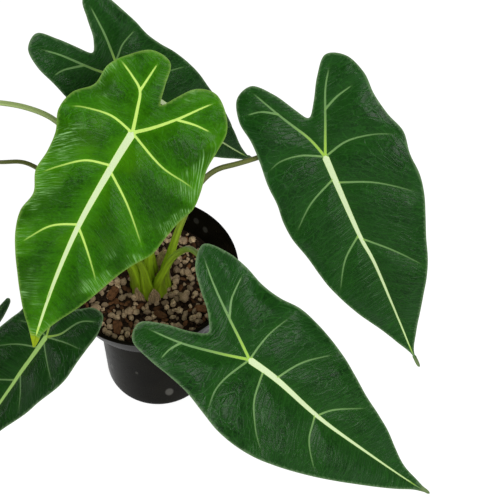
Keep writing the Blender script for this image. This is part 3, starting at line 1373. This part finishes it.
def build_stage(settings):
    """White sky, pale floor, three soft lights and the camera."""
    scene = bpy.context.scene
    world = bpy.data.worlds.new("studio")
    scene.world = world
    world.use_nodes = True
    nodes, links = world.node_tree.nodes, world.node_tree.links
    # The sky is white to the camera, and dimmer in reflections than as light.
    ray = nodes.new("ShaderNodeLightPath")
    level = nodes["Background"].inputs["Strength"]
    nodes["Background"].inputs["Color"].default_value = (1.0, 1.0, 1.0, 1.0)
    glossy = nodes.new("ShaderNodeMix")
    glossy.inputs[2].default_value = settings.sky
    glossy.inputs[3].default_value = settings.gloss
    seen = nodes.new("ShaderNodeMix")
    seen.inputs[3].default_value = 1.0
    links.new(ray.outputs["Is Glossy Ray"], glossy.inputs[0])
    links.new(glossy.outputs[0], seen.inputs[2])
    links.new(ray.outputs["Is Camera Ray"], seen.inputs[0])
    links.new(seen.outputs[0], level)
    scene.view_settings.view_transform = "Standard"
    half = settings.floor / 2
    mesh = bpy.data.meshes.new("floor")
    mesh.from_pydata([(-half, -half, 0), (half, -half, 0), (half, half, 0), (-half, half, 0)],
                     [], [(0, 1, 2, 3)])
    f = Finish("floor")
    pale = f.mix(f.noise(3.0, 2.0), (0.29, 0.29, 0.29), (0.31, 0.31, 0.31))
    seen = f.add("ShaderNodeLightPath").outputs["Is Camera Ray"]
    glow = f.span(seen, 0.0, 1.0, settings.bounce, settings.glow)
    mesh.materials.append(f.finish(pale, 0.8, Specular_IOR_Level=0.0,
                                   Emission_Color=(1.0, 1.0, 1.0, 1.0),
                                   Emission_Strength=glow))
    floor = bpy.data.objects.new("floor", mesh)
    floor.location.z = POT_LOW.z - 0.0002
    scene.collection.objects.link(floor)
    area_light("key", (0.55, -1.0, 1.25), (0.8, 0.7), settings.key)
    area_light("side", (-1.54, 0.13, 0.64), (0.35, 0.55), settings.fill)
    area_light("low", (-0.35, -1.4, 0.62), (0.3, 0.3), settings.low)
    camera = bpy.data.cameras.new("camera")
    camera.sensor_width = 36.0
    camera.lens = settings.lens
    camera.clip_start = 0.05
    camera.clip_end = 20.0
    view = bpy.data.objects.new("camera", camera)
    view.location = settings.camera
    view.rotation_euler = (math.pi / 2 - settings.elevation, 0.0, 0.0)
    scene.collection.objects.link(view)
    scene.camera = view


# ---- operators and panel ------------------------------------------------------------------
class ALOCASIA_OT_stage(bpy.types.Operator):
    """Set the camera, the lights and the pale floor"""
    bl_idname = "alocasia.stage"
    bl_label = "Stage"

    def execute(self, context):
        build_stage(context.scene.alocasia_stage)
        return {"FINISHED"}


class ALOCASIA_OT_pot(bpy.types.Operator):
    """Build the black nursery pot with its collar, lip and drain holes"""
    bl_idname = "alocasia.pot"
    bl_label = "Nursery pot"

    def execute(self, context):
        build_pot(context.scene.alocasia_pot)
        return {"FINISHED"}


class ALOCASIA_OT_mix(bpy.types.Operator):
    """Build the body of potting mix with its uneven surface"""
    bl_idname = "alocasia.mix"
    bl_label = "Potting mix"

    def execute(self, context):
        build_mix(context.scene.alocasia_mix)
        return {"FINISHED"}


class ALOCASIA_OT_rootstock(bpy.types.Operator):
    """Build the ringed rootstock from which the stalks grow"""
    bl_idname = "alocasia.rootstock"
    bl_label = "Rootstock"

    def execute(self, context):
        build_rootstock()
        return {"FINISHED"}


class ALOCASIA_OT_stalks(bpy.types.Operator):
    """Build the ribbed leaf stalks with their widened feet"""
    bl_idname = "alocasia.stalks"
    bl_label = "Leaf stalks"

    def execute(self, context):
        for name in LEAVES:
            build_stalk(name, context.scene.alocasia_stalk)
        return {"FINISHED"}


class ALOCASIA_OT_blades(bpy.types.Operator):
    """Build the arrow-shaped leaf blades with raised veins and rippled margins"""
    bl_idname = "alocasia.blades"
    bl_label = "Leaf blades"

    def execute(self, context):
        for name in LEAVES:
            build_blade(name, context.scene.alocasia_blade)
        return {"FINISHED"}


class ALOCASIA_OT_sheaths(bpy.types.Operator):
    """Build the dry papery scales at the foot of the stalks"""
    bl_idname = "alocasia.sheaths"
    bl_label = "Papery scales"

    def execute(self, context):
        build_sheaths(context.scene.alocasia_mix)
        return {"FINISHED"}


class ALOCASIA_OT_stones(bpy.types.Operator):
    """Build the loose pumice stones on the mix"""
    bl_idname = "alocasia.stones"
    bl_label = "Pumice stones"

    def execute(self, context):
        build_stones(context.scene.alocasia_mix)
        return {"FINISHED"}


class ALOCASIA_OT_chips(bpy.types.Operator):
    """Build the loose bark chips on the mix"""
    bl_idname = "alocasia.chips"
    bl_label = "Bark chips"

    def execute(self, context):
        build_chips(context.scene.alocasia_mix)
        return {"FINISHED"}


class ALOCASIA_OT_grains(bpy.types.Operator):
    """Scatter the fine grains of pumice, bark and peat over the mix"""
    bl_idname = "alocasia.grains"
    bl_label = "Fine grains"

    def execute(self, context):
        build_grains(context.scene.alocasia_mix)
        return {"FINISHED"}


STEPS = (ALOCASIA_OT_stage, ALOCASIA_OT_pot, ALOCASIA_OT_mix, ALOCASIA_OT_rootstock,
         ALOCASIA_OT_stalks, ALOCASIA_OT_blades, ALOCASIA_OT_sheaths, ALOCASIA_OT_stones,
         ALOCASIA_OT_chips, ALOCASIA_OT_grains)


class ALOCASIA_PT_panel(bpy.types.Panel):
    """Lists the settings and the steps that build the plant"""
    bl_idname = "ALOCASIA_PT_panel"
    bl_label = "Potted alocasia"
    bl_space_type = "VIEW_3D"
    bl_region_type = "UI"
    bl_category = "Alocasia"

    def draw(self, context):
        for key, group in SETTINGS.items():
            box = self.layout.box()
            for name in group.__annotations__:
                box.prop(getattr(context.scene, key), name)
        for step in STEPS:
            self.layout.operator(step.bl_idname)


def register():
    for key, group in SETTINGS.items():
        bpy.utils.register_class(group)
        setattr(bpy.types.Scene, key, bpy.props.PointerProperty(type=group))
    for step in STEPS:
        bpy.utils.register_class(step)
    bpy.utils.register_class(ALOCASIA_PT_panel)


def unregister():
    bpy.utils.unregister_class(ALOCASIA_PT_panel)
    for step in reversed(STEPS):
        bpy.utils.unregister_class(step)
    for key, group in reversed(SETTINGS.items()):
        delattr(bpy.types.Scene, key)
        bpy.utils.unregister_class(group)


def main():
    register()
    for step in STEPS:
        getattr(bpy.ops.alocasia, step.bl_idname.split(".")[1])()


if __name__ == "__main__":
    main()
